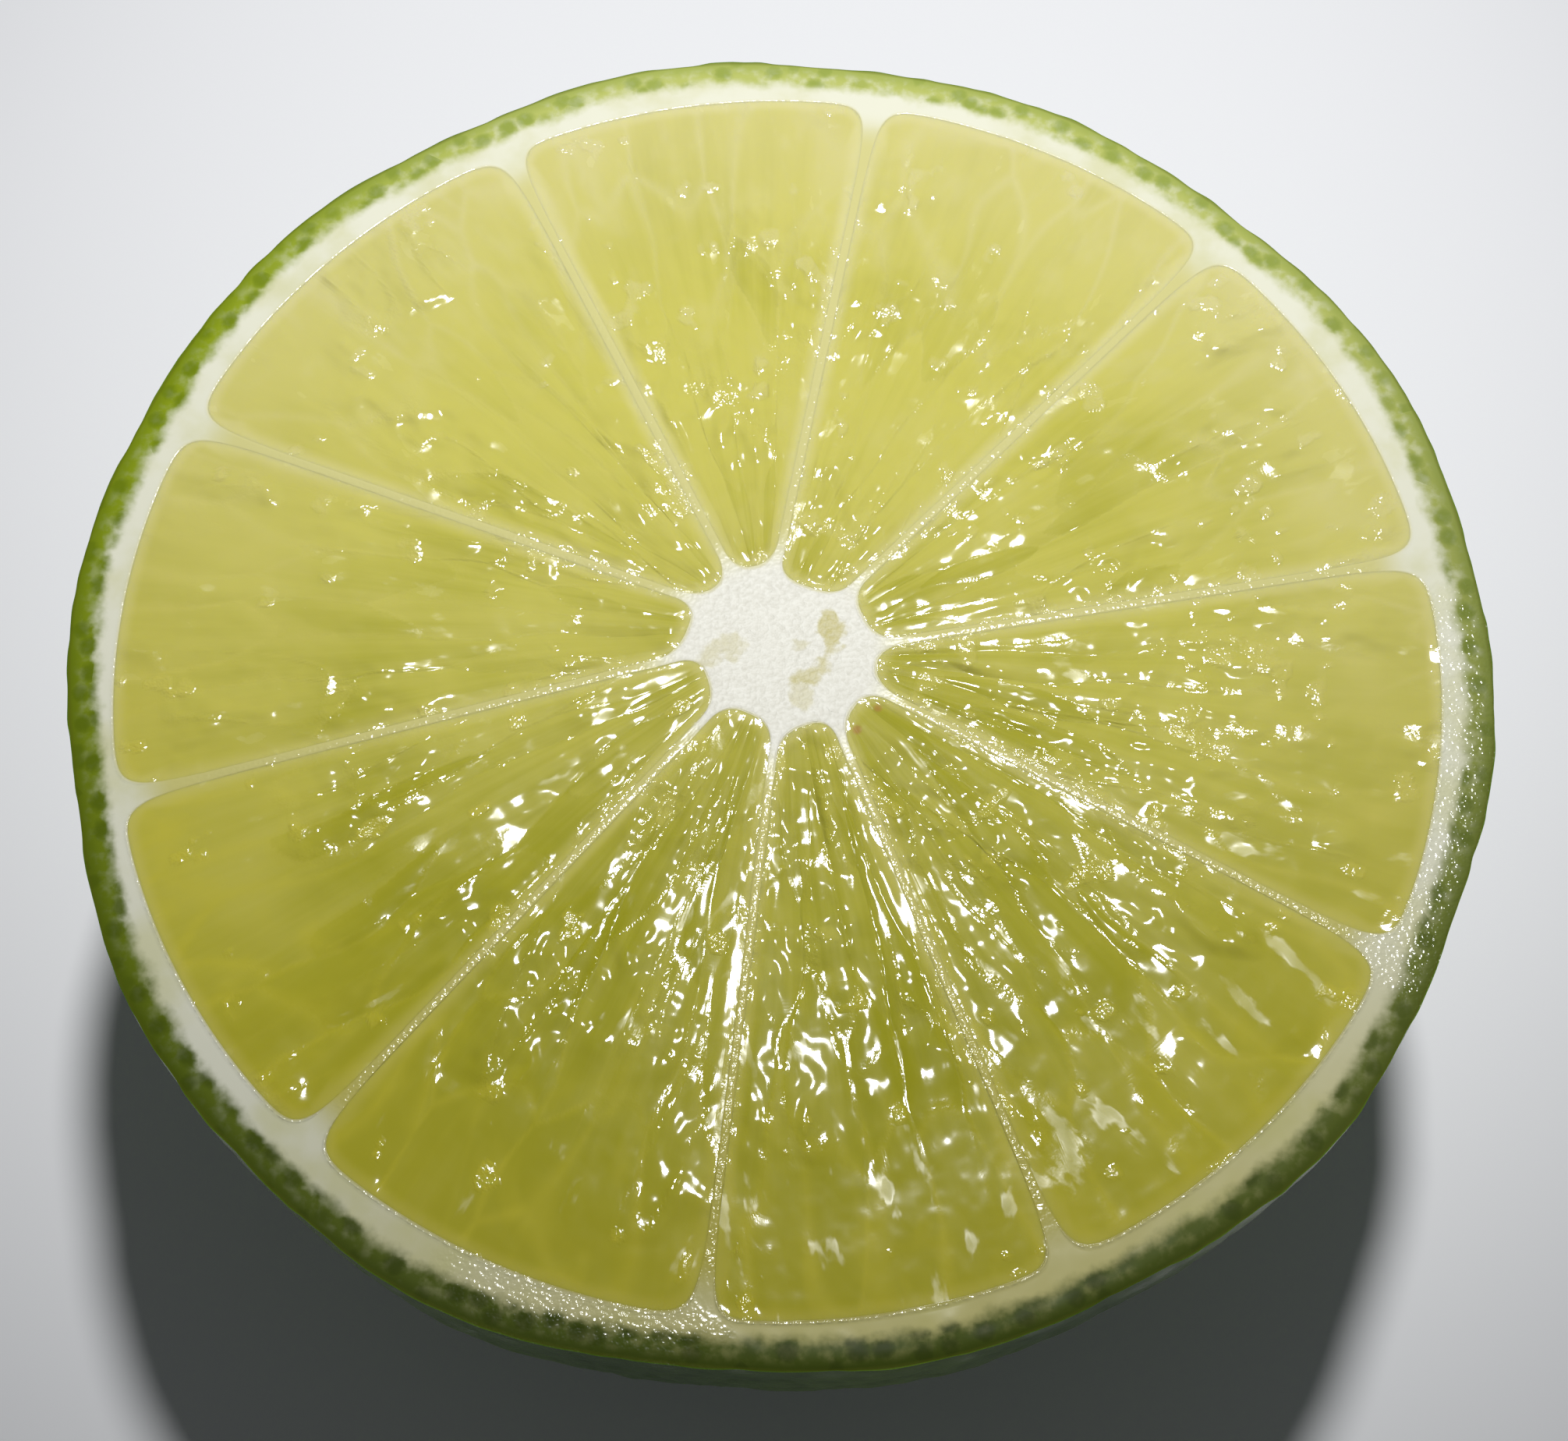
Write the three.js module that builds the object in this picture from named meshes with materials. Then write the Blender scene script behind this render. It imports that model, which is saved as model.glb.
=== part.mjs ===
// Half of a Persian lime, cut straight across its middle and lying cut face up.
//
// Units are millimetres and +Z is up. The origin is the centre of the small flat spot at the stem end
// that the half rests on. +X points to the right and +Y away from someone who looks at the cut face.
//
// The half is an assembly of what the knife laid bare:
//   rind      the green, oily outer skin, a thin bowl with the stem scar under it
//   pith      the white layer inside the skin, grown in one with the membranes and the core
//   pulp_NN   ten segments of juicy pulp, each filling one pocket of the pith
//
// Neighbouring pieces share one and the same wall, vertex for vertex, as they do in the fruit, so there is
// neither a gap nor an overlap between them.
import * as THREE from "three";

// The fruit as a whole.
const RADIUS = 25; // half of the width at the cut
const CUT_HEIGHT = 27.5; // from the resting surface to the cut face
const POLE_DEPTH = 27.9; // from the cut face to the stem end as it grew, before it was pressed flat
const FULLNESS = 2.15; // 2 makes the side an ellipse, more makes its shoulders fuller

// Soft waves round the fruit: how many, how high, and the angle in degrees of one crest.
const WAVES = [
  { count: 3, height: 0.08, crest: 5 },
  { count: 4, height: 0.08, crest: 47 },
  { count: 5, height: 0.08, crest: 19 },
  { count: 10, height: 0.12, crest: -7 },
];

// The layers, from the skin inwards.
const RIND_THICKNESS = 1;
const RIND_POLE_DEPTH = 25.8; // the inner face of the rind at the stem end
const PULP_RADIUS = 23.2; // the outer end of the segments
const PULP_POLE_DEPTH = 23.4; // where the segments would meet below the cut, if they ran to a point
const MEMBRANE = 0.3; // thickness of the wall between two segments

// The stem scar: a woody button in a shallow dimple. It stays clear of the resting surface.
const DIMPLE_RADIUS = 3.3;
const GROOVE = { radius: 2.4, height: 0.75 };
const BUTTON = { radius: 1.9, height: 0.3 };

// Each membrane is a straight line across the cut: the angles in degrees where it leaves the core and where
// it meets the pith. tip is how far from the middle the segment after it begins.
const CORE_RADIUS = 3.3;
const MEMBRANES = [
  { core: 7.4, rim: 9.4, tip: 3.4 },
  { core: 44.8, rim: 45.7, tip: 2.9 },
  { core: 91, rim: 80.8, tip: 3.6 },
  { core: 117, rim: 116.1, tip: 3.5 },
  { core: 142, rim: 156.7, tip: 3.35 },
  { core: 180, rim: 193.3, tip: 2.6 },
  { core: 223, rim: 228.2, tip: 2.4 },
  { core: 268, rim: 264.1, tip: 2.8 },
  { core: 308, rim: 293.5, tip: 3.3 },
  { core: 341, rim: 331.9, tip: 3.5 },
];

// The pulp segments.
const OUTER_CORNER = 18; // a higher exponent makes a tighter corner against the pith
const INNER_TIP = 2.4; // the same for the tip that points at the core, and 2 makes it an ellipse
const TIP_LENGTH = 0.95; // how soon the round tip has the full width between its membranes
const CORE_TAPER = 0.5; // how much of its radius the core loses on its way down to the stem end
const PULP_SINK = 0.15; // how far the pulp lies below the cut edge of the membrane
const VESICLE_RIDGES = 3; // long juice sacs, seen as soft ridges that run outwards
const RIDGE_HEIGHT = 0.25;

// How finely the surfaces are divided.
const STEPS_ROUND = 72; // round the fruit
const SKIN_STEPS = 9; // from the cut down to the flat spot
const WALL_STEPS = 6; // down the wall between rind and pith
const WALL_END = 0.12; // width left at that wall's last ring, as a share of its width at the cut
const CELLS_ACROSS = 12; // over a segment, from membrane to membrane
const TIP_CELLS = 3; // along its round tip
const BODY_CELLS = 7; // from there to the pith
const POCKET_STEPS = 3; // down a segment's wall
const POCKET_END = 0.24; // width left at the floor of a pocket, as a share of its width at the cut

const CELLS_ALONG = TIP_CELLS + BODY_CELLS;
const MIDDLE = new THREE.Vector2();
const radians = THREE.MathUtils.degToRad;
const lerp = THREE.MathUtils.lerp;

// The fruit's radius at an angle, as a share of its mean radius.
function waviness(angle) {
  const rise = WAVES.reduce(
    (sum, wave) => sum + wave.height * Math.cos(wave.count * (angle - radians(wave.crest))),
    0,
  );
  return 1 + rise / RADIUS;
}

// A point on the side of a fruit shape. turn is 0 at the cut and a quarter turn at the stem end.
function sidePoint(radius, poleDepth, turn) {
  const power = 2 / FULLNESS;
  return {
    radius: radius * Math.cos(turn) ** power,
    height: CUT_HEIGHT - poleDepth * Math.sin(turn) ** power,
  };
}

// The turn at which a side has shrunk to a given share of its radius.
function turnAtShare(share) {
  return Math.acos(share ** (FULLNESS / 2));
}

// A closed ring of points round the fruit, counterclockwise from above.
function ring({ radius, height }) {
  return Array.from({ length: STEPS_ROUND }, (_, step) => {
    const angle = (step / STEPS_ROUND) * 2 * Math.PI;
    const reach = radius * waviness(angle);
    return new THREE.Vector3(reach * Math.cos(angle), reach * Math.sin(angle), height);
  });
}

// Rings down one side, from the cut to the last turn.
function sideRings(radius, poleDepth, lastTurn, steps) {
  return Array.from({ length: steps + 1 }, (_, step) =>
    ring(sidePoint(radius, poleDepth, (lastTurn * step) / steps)),
  );
}

// Triangles between two rings of points. They face outwards if the first ring is the upper one.
function band(first, second) {
  return first.flatMap((point, step) => {
    const next = (step + 1) % first.length;
    return [
      [point, second[step], second[next]],
      [point, second[next], first[next]],
    ];
  });
}

// Triangles between each ring of a list and the one after it.
function bands(rings) {
  return rings.slice(1).flatMap((lower, step) => band(rings[step], lower));
}

// Triangles that close a ring at a centre point, facing up.
function cap(points, centre) {
  return points.map((point, step) => [centre, point, points[(step + 1) % points.length]]);
}

// The same triangles seen from the other side.
function flipped(triangles) {
  return triangles.map(([a, b, c]) => [a, c, b]);
}

function solid(name, triangles, material) {
  const geometry = new THREE.BufferGeometry().setFromPoints(triangles.flat());
  geometry.computeVertexNormals();
  const mesh = new THREE.Mesh(geometry, material);
  mesh.name = name;
  return mesh;
}

// The wall that rind and pith share, from the cut down to a point over the stem end.
const innerWall = sideRings(
  RADIUS - RIND_THICKNESS,
  RIND_POLE_DEPTH,
  turnAtShare(WALL_END),
  WALL_STEPS,
);
const innerPole = new THREE.Vector3(0, 0, CUT_HEIGHT - RIND_POLE_DEPTH);

function rindTriangles() {
  const flatTurn = Math.asin((CUT_HEIGHT / POLE_DEPTH) ** (FULLNESS / 2));
  const skin = sideRings(RADIUS, POLE_DEPTH, flatTurn, SKIN_STEPS);
  const stemScar = [
    { radius: DIMPLE_RADIUS, height: 0 },
    GROOVE,
    BUTTON,
  ].map(ring);
  const buttonCentre = new THREE.Vector3(0, 0, BUTTON.height);
  return [
    ...cap(innerWall.at(-1), innerPole),
    ...flipped(bands(innerWall)),
    ...band(innerWall[0], skin[0]),
    ...bands([...skin, ...stemScar]),
    ...flipped(cap(stemScar.at(-1), buttonCentre)),
  ];
}

// The angle at which a membrane's middle line crosses a circle round the middle of the fruit.
function membraneAngle(membrane, radius) {
  const inner = new THREE.Vector2(CORE_RADIUS, 0).rotateAround(MIDDLE, radians(membrane.core));
  const outer = new THREE.Vector2(PULP_RADIUS, 0).rotateAround(MIDDLE, radians(membrane.rim));
  const direction = outer.sub(inner).normalize();
  const alongIt = inner.dot(direction);
  const step = Math.sqrt(alongIt ** 2 - CORE_RADIUS ** 2 + radius ** 2) - alongIt;
  return inner.addScaledVector(direction, step).angle();
}

// A square from -1 to 1 is drawn in towards its middle until its corners are round.
function roundedSquare(x, y) {
  const exponent = y > 0 ? OUTER_CORNER : INNER_TIP;
  const far = Math.max(Math.abs(x), Math.abs(y));
  const reach = (Math.abs(x) ** exponent + Math.abs(y) ** exponent) ** (1 / exponent);
  const pull = far > 0 ? far / reach : 1;
  return [x * pull, y * pull];
}

// A point of the segment that lies between two membranes, at a share of the width it has at the cut.
// x runs from -1 at the first membrane to 1 at the second. y runs from -1 at the tip, past 0 where the
// round tip ends, to 1 at the pith.
function segmentPoint([first, second], x, y, share) {
  const [side, end] = roundedSquare(x, y);
  const length = PULP_RADIUS - first.tip;
  const out = end < 0 ? TIP_LENGTH * (1 + end) : lerp(TIP_LENGTH, length, end);
  const left = membraneAngle(first, first.tip + out);
  const turn = (membraneAngle(second, first.tip + out) - left + 2 * Math.PI) % (2 * Math.PI);
  const tipNow = first.tip * (1 - CORE_TAPER * (1 - share));
  const radius = lerp(tipNow, PULP_RADIUS * share, out / length);
  const margin = MEMBRANE / 2 / (radius * turn);
  const angle = left + turn * lerp(margin, 1 - margin, (side + 1) / 2);
  return new THREE.Vector2(radius, 0).rotateAround(MIDDLE, angle);
}

// The square's coordinates at a grid crossing. Columns are close together at the membranes, and rows at the
// tip and at the pith, where the corners are.
function gridPoint(i, j) {
  const body = (j - TIP_CELLS) / BODY_CELLS;
  const quarterTurn = Math.PI / 2;
  return [
    Math.sin(((2 * i) / CELLS_ACROSS - 1) * quarterTurn),
    body < 0 ? j / TIP_CELLS - 1 : Math.sin(body * quarterTurn),
  ];
}

// The border of the grid, counterclockwise from above: out along the first membrane, along the pith, in
// along the second membrane and round the tip.
function borderSteps() {
  const steps = [];
  for (let j = 0; j < CELLS_ALONG; j++) steps.push([0, j]);
  for (let i = 0; i < CELLS_ACROSS; i++) steps.push([i, CELLS_ALONG]);
  for (let j = CELLS_ALONG; j > 0; j--) steps.push([CELLS_ACROSS, j]);
  for (let i = CELLS_ACROSS; i > 0; i--) steps.push([i, 0]);
  return steps;
}

// The outline of a segment's wall at a height, narrowed to a share of its width at the cut.
function outline(pair, share, height) {
  return borderSteps().map((step) => {
    const plan = segmentPoint(pair, ...gridPoint(...step), share);
    return new THREE.Vector3(plan.x, plan.y, height);
  });
}

// The wall and floor of a segment below its cut edge, facing away from the pulp.
function pocketTriangles(pair) {
  const lastTurn = turnAtShare(POCKET_END);
  const walls = Array.from({ length: POCKET_STEPS + 1 }, (_, step) => {
    const side = sidePoint(1, PULP_POLE_DEPTH, (lastTurn * step) / POCKET_STEPS);
    return outline(pair, side.radius, step ? side.height : CUT_HEIGHT - PULP_SINK);
  });
  const floor = walls.at(-1);
  const centre = floor
    .reduce((sum, point) => sum.add(point), new THREE.Vector3())
    .divideScalar(floor.length);
  return [...bands(walls), ...flipped(cap(floor, centre))];
}

// The cut face of a segment: a shallow dip behind the membranes, with ridges of juice sacs that run outwards.
function pulpFace(pair) {
  const grid = Array.from({ length: CELLS_ALONG + 1 }, (_, j) =>
    Array.from({ length: CELLS_ACROSS + 1 }, (_, i) => {
      const [x, y] = gridPoint(i, j);
      const plan = segmentPoint(pair, x, y, 1);
      const ridge = (1 - Math.cos(Math.PI * VESICLE_RIDGES * (x + 1))) / 2;
      const swell = Math.sin((Math.PI * j) / CELLS_ALONG);
      const onBorder = i % CELLS_ACROSS === 0 || j % CELLS_ALONG === 0;
      const rise = onBorder ? 0 : RIDGE_HEIGHT * ridge * swell;
      return new THREE.Vector3(plan.x, plan.y, CUT_HEIGHT - PULP_SINK + rise);
    }),
  );
  return grid.slice(1).flatMap((outer, j) =>
    outer.slice(1).flatMap((corner, i) => [
      [grid[j][i], outer[i], corner],
      [grid[j][i], corner, grid[j][i + 1]],
    ]),
  );
}

const pockets = MEMBRANES.map((first, index) => [
  first,
  MEMBRANES[(index + 1) % MEMBRANES.length],
]);

// The flat cut face of pith, membranes and core: everything inside the rind that isn't a pocket.
function pithFace(rim, holes) {
  const loops = [rim, ...holes];
  const points = loops.flat();
  const [contour, ...openings] = loops.map((loop) =>
    loop.map((point) => new THREE.Vector2(point.x, point.y)),
  );
  return THREE.ShapeUtils.triangulateShape(contour, openings).map(([a, b, c]) => {
    const corners = [points[a], points[b], points[c]];
    return THREE.ShapeUtils.area(corners) > 0 ? corners : corners.reverse();
  });
}

function pithTriangles() {
  const mouths = pockets.map((pair) => outline(pair, 1, CUT_HEIGHT));
  const lips = pockets.flatMap((pair, index) =>
    band(mouths[index], outline(pair, 1, CUT_HEIGHT - PULP_SINK)),
  );
  return [
    ...pithFace(innerWall[0], mouths),
    ...flipped(lips),
    ...flipped(pockets.flatMap(pocketTriangles)),
    ...bands(innerWall),
    ...flipped(cap(innerWall.at(-1), innerPole)),
  ];
}

const rindGreen = new THREE.MeshStandardMaterial({ color: 0x5f7d22, roughness: 0.45, metalness: 0 });
const pithWhite = new THREE.MeshStandardMaterial({ color: 0xf1f0dc, roughness: 0.7, metalness: 0 });
const pulpGreen = new THREE.MeshStandardMaterial({ color: 0xb8b94c, roughness: 0.15, metalness: 0 });

const lime = new THREE.Group();
lime.add(solid("rind", rindTriangles(), rindGreen));
lime.add(solid("pith", pithTriangles(), pithWhite));
pockets.forEach((pair, index) => {
  const name = "pulp_" + String(index + 1).padStart(2, "0");
  lime.add(solid(name, [...pulpFace(pair), ...pocketTriangles(pair)], pulpGreen.clone()));
});

export default lime;
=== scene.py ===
# %% [markdown]
# # Half a lime, cut face up
#
# This lesson dresses a small CAD model of a lime half: a green rind, the white pith with its membranes and
# core, and ten segments of wet pulp. The CAD model fixes every size and place, so it is loaded first and
# never moved. Each finer piece is then worked out as a numpy surface, takes the place of one CAD node, and
# gets a procedural material.

# %% Load the CAD model
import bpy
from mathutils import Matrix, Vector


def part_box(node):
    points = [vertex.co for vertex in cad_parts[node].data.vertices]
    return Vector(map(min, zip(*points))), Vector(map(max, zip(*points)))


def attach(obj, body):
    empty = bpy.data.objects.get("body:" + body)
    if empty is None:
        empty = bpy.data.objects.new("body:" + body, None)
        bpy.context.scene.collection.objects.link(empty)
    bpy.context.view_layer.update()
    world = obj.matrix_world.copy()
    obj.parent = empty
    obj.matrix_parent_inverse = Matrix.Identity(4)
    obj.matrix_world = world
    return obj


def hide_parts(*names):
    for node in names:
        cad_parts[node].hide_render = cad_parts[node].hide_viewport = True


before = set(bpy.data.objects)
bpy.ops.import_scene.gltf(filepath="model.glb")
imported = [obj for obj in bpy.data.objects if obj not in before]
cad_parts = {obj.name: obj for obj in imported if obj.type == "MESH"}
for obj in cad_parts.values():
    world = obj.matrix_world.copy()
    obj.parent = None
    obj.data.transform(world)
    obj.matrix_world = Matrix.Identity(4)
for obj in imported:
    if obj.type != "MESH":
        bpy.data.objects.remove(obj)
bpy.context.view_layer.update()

from types import SimpleNamespace

import bpy
import numpy as np
from mathutils import Vector

print("CAD nodes:", sorted(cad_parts))

# %% [markdown]
# ## The fruit's own sizes
#
# The part is drawn in metres, so every size below is a count of millimetres times MM. The cut lies as high
# as the top of the CAD rind, and the other sizes are those that the CAD model was built from. A membrane is
# a straight line across the cut, given by the angle where it leaves the core and the angle where it meets
# the pith.

# %% Sizes of the lime
MM = 0.001
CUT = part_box("rind")[1].z
RADIUS = 25 * MM
POLE_DEPTH = 27.9 * MM  # down to the pole of the outside's curve, a little below the flat spot
FULLNESS = 2.15  # exponent of that curve: 2 is an ellipse, and more is fuller
RIND = 1 * MM
RIND_POLE_DEPTH = 25.8 * MM
PULP_RADIUS = 23.2 * MM
PULP_POLE_DEPTH = 23.4 * MM
CORE_RADIUS = 3.3 * MM
LINE_START = 2.2 * MM  # nearer to the middle the membranes have no lines of their own
MEMBRANE = 0.3 * MM
OUTER_CORNER = 18  # exponents of a segment's corners: 2 is round, and more is squarer
INNER_TIP = 2.4
TIP_LENGTH = 0.95 * MM
CORE_TAPER = 0.5  # how much nearer to the axis the tips come, as a share, where a pocket narrows
POCKET_END = 0.24  # width of a pocket's floor, as a share of its width at the cut
PULP_SINK = 0.05 * MM
WAVES = ((3, 0.08, 5), (4, 0.08, 47), (5, 0.08, 19), (10, 0.12, -7))  # count, height in mm, crest in degrees
MEMBRANES = (  # angle at the core, angle at the pith, and where the segment after it begins in mm
    (7.4, 9.4, 3.4), (44.8, 45.7, 2.9), (91, 80.8, 3.6), (117, 116.1, 3.5), (142, 156.7, 3.35),
    (180, 193.3, 2.6), (223, 228.2, 2.4), (268, 264.1, 2.8), (308, 293.5, 3.3), (341, 331.9, 3.5),
)
SEGMENTS = len(MEMBRANES)
print(f"cut {CUT / MM:.2f} mm above the table, {SEGMENTS} segments")

# %% [markdown]
# ## Chance that is the same each time
#
# Fruit is irregular, but the script has to give the same lime at each run. So chance comes from a hash: two
# whole numbers and a seed are multiplied by large odd numbers and their bits are mixed until the result
# looks random. A soft noise then blends its values at the corners of a square lattice.

# %% Hash and noise
def chance(i, j, seed):
    """A number from 0 to 1 for each pair of whole numbers: multiply by large odd numbers, fold high bits
    onto low ones with exclusive or, and keep 24 bits."""
    bits = (np.asarray(i).astype(np.int64) * 374761393 + np.asarray(j).astype(np.int64) * 668265263
            + seed * 974711) & 0xFFFFFFFF
    bits = ((bits ^ (bits >> 13)) * 1274126177) & 0xFFFFFFFF
    bits = ((bits ^ (bits >> 16)) * 2246822519) & 0xFFFFFFFF
    return ((bits ^ (bits >> 15)) & 0xFFFFFF) / 0xFFFFFF


def ease(low, high, value):
    """0 below low, 1 above high, and the cubic 3t^2 - 2t^3 between them."""
    t = np.clip((value - low) / (high - low), 0, 1)
    return t * t * (3 - 2 * t)


def noise(x, y, seed):
    """Soft noise from -1 to 1: the chances at the four lattice corners round a point, blended by eased
    distances."""
    i, j = np.floor(x), np.floor(y)
    u, v = ease(0, 1, x - i), ease(0, 1, y - j)
    near = chance(i, j, seed) * (1 - u) + chance(i + 1, j, seed) * u
    far = chance(i, j + 1, seed) * (1 - u) + chance(i + 1, j + 1, seed) * u
    return 2 * (near * (1 - v) + far * v) - 1


def layered_noise(x, y, seed, layers=3):
    """Noise with finer and weaker copies of itself added, each of half the pitch and half the height."""
    return sum(noise(x * 2**k, y * 2**k, seed + k) / 2**k for k in range(layers))


print("chance of 1, 2, 3:", chance(np.arange(1, 4), 0, 5).round(3))

# %% [markdown]
# ## From grids to closed meshes
#
# Every surface below is a grid of points, and a piece is several grids that meet edge to edge. They could be
# joined index by index. Here they are welded instead: points that round to the same place become one, and
# a four-sided face that loses a corner that way, as at a pole, becomes a triangle. Values that a material
# needs, such as the depth below the skin, travel with the points as attributes.

# %% Weld grids into one closed piece
WELD = 1e-7
CREASE = np.radians(45)  # edges sharper than this stay sharp in the shading


def grid_faces(rows, columns, first):
    """Corner numbers of the quads of a grid whose first point has the number first."""
    start = first + (np.arange(rows - 1)[:, None] * columns + np.arange(columns - 1)).ravel()
    return np.stack([start, start + columns, start + columns + 1, start + 1], 1)


def in_scene(name, data):
    """A new object in the scene, at the origin."""
    made = bpy.data.objects.new(name, data)
    bpy.context.scene.collection.objects.link(made)
    return made


def closed_piece(name, grids, material):
    """A smooth mesh from grids of points. Each grid is (points, values): an array of rows by columns by 3
    that faces outwards when rows cross columns to the right hand, and its attributes by name."""
    points, faces, first = [], [], 0
    for places, _ in grids:
        rows, columns = places.shape[:2]
        points.append(places.reshape(-1, 3))
        faces.append(grid_faces(rows, columns, first))
        first += rows * columns
    points, faces = np.concatenate(points), np.concatenate(faces)
    _, kept, number = np.unique(np.round(points / WELD).astype(np.int64), axis=0,
                                return_index=True, return_inverse=True)
    faces = number.reshape(-1)[faces]
    same = faces == np.roll(faces, -1, axis=1)
    quads = faces[same.sum(1) == 0]
    pinched = faces[same.sum(1) == 1]
    triangles = pinched[~same[same.sum(1) == 1]].reshape(-1, 3)
    mesh = bpy.data.meshes.new(name)
    mesh.from_pydata(points[kept].tolist(), [], quads.tolist() + triangles.tolist())
    for key in sorted({key for _, values in grids for key in values}):
        column = np.concatenate([
            np.broadcast_to(values.get(key, 0.0), places.shape[:2]).ravel() for places, values in grids])
        attribute = mesh.attributes.new(key, "FLOAT", "POINT")
        attribute.data.foreach_set("value", column[kept].astype(np.float32))
    mesh.shade_smooth()
    mesh.set_sharp_from_angle(angle=CREASE)
    mesh.materials.append(material)
    print(f"{name}: {len(mesh.vertices)} points, {2 * len(quads) + len(triangles)} triangles")
    return in_scene(name, mesh)


print("faces of a grid of 2 by 3 points:", grid_faces(2, 3, 0).tolist())

# %% [markdown]
# ## The shapes under the surface
#
# The outline of the cut is a circle with a few soft waves, and the sides are superellipses turned about the
# axis. Plan points are complex numbers, because turning one by an angle is then a single multiplication.

# %% Outline and sides
def turned(radius, degrees):
    """The plan point at a radius and an angle, as a complex number."""
    return radius * np.exp(1j * np.radians(degrees))


def waviness(angle):
    """The outline's radius as a share of its mean: 1 plus a few cosines round the fruit."""
    return 1 + sum(h * MM * np.cos(n * (angle - np.radians(crest))) for n, h, crest in WAVES) / RADIUS


def side(radius, pole_depth, turn):
    """Radius and height on a side: powers of the cosine and sine of a turn that is 0 at the cut and a
    quarter at the stem end."""
    power = 2 / FULLNESS
    return radius * np.cos(turn) ** power, CUT - pole_depth * np.sin(turn) ** power


print("outline's radius in mm at each quarter turn:",
      (RADIUS / MM * waviness(np.radians([0, 90, 180, 270]))).round(2))

# %% [markdown]
# A segment could be drawn as an outline and filled. It is the image of a square instead, so that patterns
# can follow it: x runs from one membrane to the next and y from the core to the pith, and the square's
# corners are rounded first.

# %% Membranes and segments
def rounded_square(x, y):
    """A square from -1 to 1 with each point drawn towards the middle until the corners are round."""
    exponent = np.where(y > 0, OUTER_CORNER, INNER_TIP)
    far = np.maximum(np.abs(x), np.abs(y))
    reach = (np.abs(x) ** exponent + np.abs(y) ** exponent) ** (1 / exponent)
    pull = far / np.maximum(reach, 1e-9)
    return x * pull, y * pull


def membrane_line(index, radius):
    """The point of a membrane's middle line on a circle round the middle, by the quadratic formula. Nearer
    than any segment's tip, where there is no membrane, a straight ray goes on to the middle."""
    core, rim, _ = MEMBRANES[index % SEGMENTS]
    inner = turned(CORE_RADIUS, core)
    ray = turned(PULP_RADIUS, rim) - inner
    ray = ray / abs(ray)
    along_it = (inner * ray.conjugate()).real
    circle = np.maximum(radius, LINE_START)
    step = np.sqrt(along_it**2 - CORE_RADIUS**2 + circle**2) - along_it
    return (inner + ray * step) * radius / circle


def way_out(tip, end):
    """How far a place lies from a segment's tip: the lower half of the square is only its round end."""
    return np.where(end < 0, TIP_LENGTH * (1 + end), TIP_LENGTH + (PULP_RADIUS - tip - TIP_LENGTH) * end)


def segment_plan(index, x, y, share=1.0):
    """The plan point of a segment for a place in its square, narrowed to a share of its width at the cut:
    the radius comes from the way out, and the angle is mixed between the two membranes, less half a
    membrane at each side."""
    side_place, end = rounded_square(x, y)
    tip = MEMBRANES[index][2] * MM
    out = way_out(tip, end)
    left, right = membrane_line(index, tip + out), membrane_line(index + 1, tip + out)
    turn = np.angle(right / left)
    tip_now = tip * (1 - CORE_TAPER * (1 - share))
    radius = tip_now + (PULP_RADIUS * share - tip_now) * out / (PULP_RADIUS - tip)
    margin = MEMBRANE / 2 / (radius * turn)
    angle = np.angle(left) + turn * (margin + (1 - 2 * margin) * (side_place + 1) / 2)
    return radius * np.exp(1j * angle)


def cut_level(plan):
    """Height of the knife's cut, a weak layered noise, and how far a place is white tissue: 1 in the core and
    the rim and 0 on the pulp."""
    radius = np.abs(plan) / MM
    body = np.maximum(1 - ease(3.2, 5.2, radius), ease(21.3, 23.0, radius))
    uneven = 0.010 * layered_noise(plan.real / MM * 0.9, plan.imag / MM * 0.9, 31)
    return CUT - PULP_SINK + uneven * MM, body


def spots(plan, height):
    """Plan points and heights as points in space."""
    plan, height = np.broadcast_arrays(plan, height)
    return np.stack([plan.real, plan.imag, height], -1)


tip, end = np.abs(segment_plan(0, 0.0, np.array([-1.0, 1.0]))) / MM
print(f"the first segment runs from {tip:.1f} to {end:.1f} mm from the middle")

# %% [markdown]
# ## Sums of sockets
#
# Wiring a material node by node takes many lines and hides the idea. One small class wraps a socket
# instead, so that an expression such as 1 - mask * 0.5 adds its Math nodes by itself. Every other node
# comes from one method that sets the node's own settings first and its sockets after that.

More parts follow.
